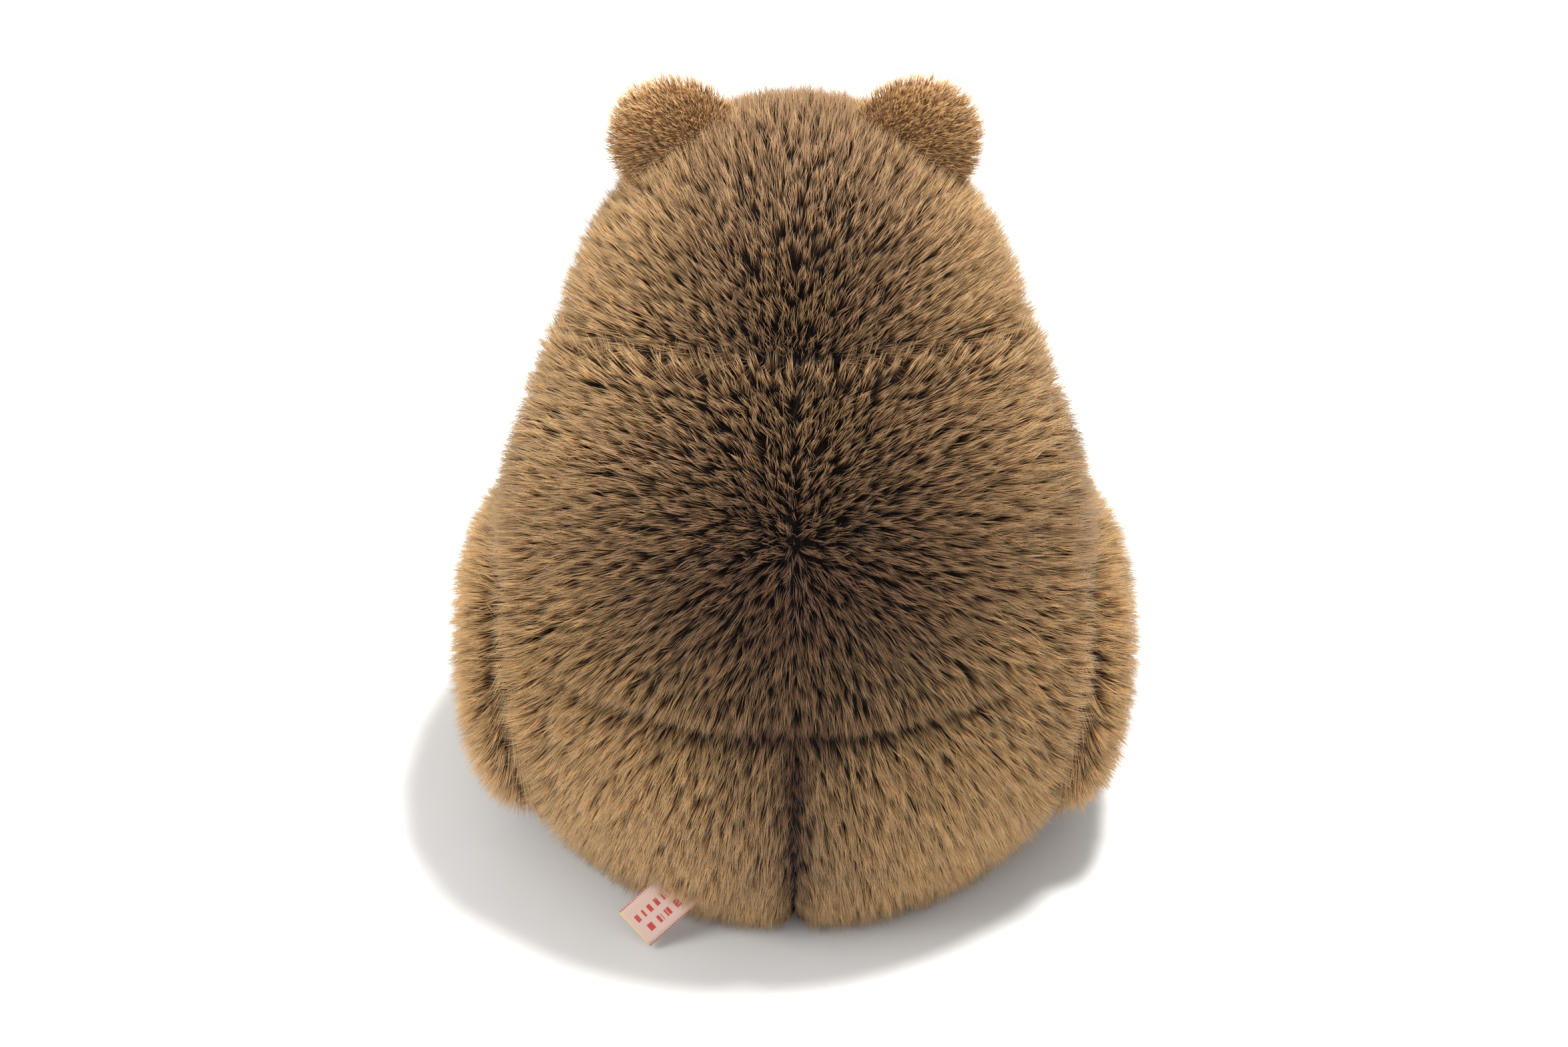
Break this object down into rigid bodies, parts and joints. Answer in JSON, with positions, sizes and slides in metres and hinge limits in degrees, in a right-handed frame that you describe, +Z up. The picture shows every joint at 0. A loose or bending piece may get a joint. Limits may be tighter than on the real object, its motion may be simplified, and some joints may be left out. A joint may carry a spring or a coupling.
{
  "type": "jointed teddy bear",
  "caption": "Long-pile plush teddy bear seated with a hunched back, its head, arms and legs turning on fibreboard disc joints with split pins.",
  "frame": {"origin": "on the floor under the flat of the seat, on the bear's middle plane", "axes": "+Z up, the bear faces -Y and its left side is +X"},
  "size_m": [0.208, 0.1937, 0.257],
  "materials": {
    "plush": "matte",
    "muzzle_plush": "matte",
    "pad_cloth": "matte",
    "stuffing": "matte",
    "fibreboard": "matte",
    "steel": "satin",
    "nose_plastic": "gloss",
    "eye_plastic": "gloss",
    "ribbon": "satin"
  },
  "bodies": {
    "arm_left": {"arm_left_inner": "plush", "arm_left_outer": "plush", "arm_left_stuffing": "stuffing", "paw_pad_left": "pad_cloth", "shoulder_left_disc_outer": "fibreboard", "shoulder_left_split_pin": "steel", "shoulder_left_washer_outer": "steel"},
    "arm_right": {"arm_right_inner": "plush", "arm_right_outer": "plush", "arm_right_stuffing": "stuffing", "paw_pad_right": "pad_cloth", "shoulder_right_disc_outer": "fibreboard", "shoulder_right_split_pin": "steel", "shoulder_right_washer_outer": "steel"},
    "head": {"ear_left": "plush", "ear_right": "plush", "eye_left": "eye_plastic", "eye_right": "eye_plastic", "eye_washer_left": "steel", "eye_washer_right": "steel", "head_gusset": "plush", "head_left": "plush", "head_right": "plush", "head_stuffing": "stuffing", "muzzle": "muzzle_plush", "neck_disc_outer": "fibreboard", "neck_split_pin": "steel", "neck_washer_outer": "steel", "nose": "nose_plastic"},
    "leg_left": {"hip_left_disc_outer": "fibreboard", "hip_left_split_pin": "steel", "hip_left_washer_outer": "steel", "leg_left_inner": "plush", "leg_left_outer": "plush", "leg_left_stuffing": "stuffing", "sole_pad_left": "pad_cloth"},
    "torso": {"hip_left_disc_torso_side": "fibreboard", "hip_left_washer_torso_side": "steel", "hip_right_disc_torso_side": "fibreboard", "hip_right_washer_torso_side": "steel", "label": "ribbon", "neck_disc_torso_side": "fibreboard", "neck_washer_torso_side": "steel", "shoulder_left_disc_torso_side": "fibreboard", "shoulder_left_washer_torso_side": "steel", "shoulder_right_disc_torso_side": "fibreboard", "shoulder_right_washer_torso_side": "steel", "torso_back_left": "plush", "torso_back_right": "plush", "torso_front": "plush", "torso_rump_left": "plush", "torso_rump_right": "plush", "torso_stuffing": "stuffing"},
    "leg_right": {"hip_right_disc_outer": "fibreboard", "hip_right_split_pin": "steel", "hip_right_washer_outer": "steel", "leg_right_inner": "plush", "leg_right_outer": "plush", "leg_right_stuffing": "stuffing", "sole_pad_right": "pad_cloth"}
  },
  "joints": [
    {"name": "neck", "type": "hinge", "parent": "torso", "child": "head", "pos_m": [0, -0.011, 0.176], "axis": [0, -0.4226, 0.9063], "range_deg": [-90, 90]},
    {"name": "shoulder_left", "type": "hinge", "parent": "torso", "child": "arm_left", "pos_m": [0.052, -0.033, 0.127], "axis": [-0.9158, 0.37, -0.1564], "range_deg": [-6, 60]},
    {"name": "shoulder_right", "type": "hinge", "parent": "torso", "child": "arm_right", "pos_m": [-0.052, -0.033, 0.127], "axis": [-0.9158, -0.37, 0.1564], "range_deg": [-6, 60]},
    {"name": "hip_left", "type": "hinge", "parent": "torso", "child": "leg_left", "pos_m": [0.0755, -0.003, 0.0625], "axis": [-0.9867, 0.1563, 0.0436], "range_deg": [-85, 5]},
    {"name": "hip_right", "type": "hinge", "parent": "torso", "child": "leg_right", "pos_m": [-0.0755, -0.003, 0.0625], "axis": [-0.9867, -0.1563, -0.0436], "range_deg": [-85, 5]}
  ]
}
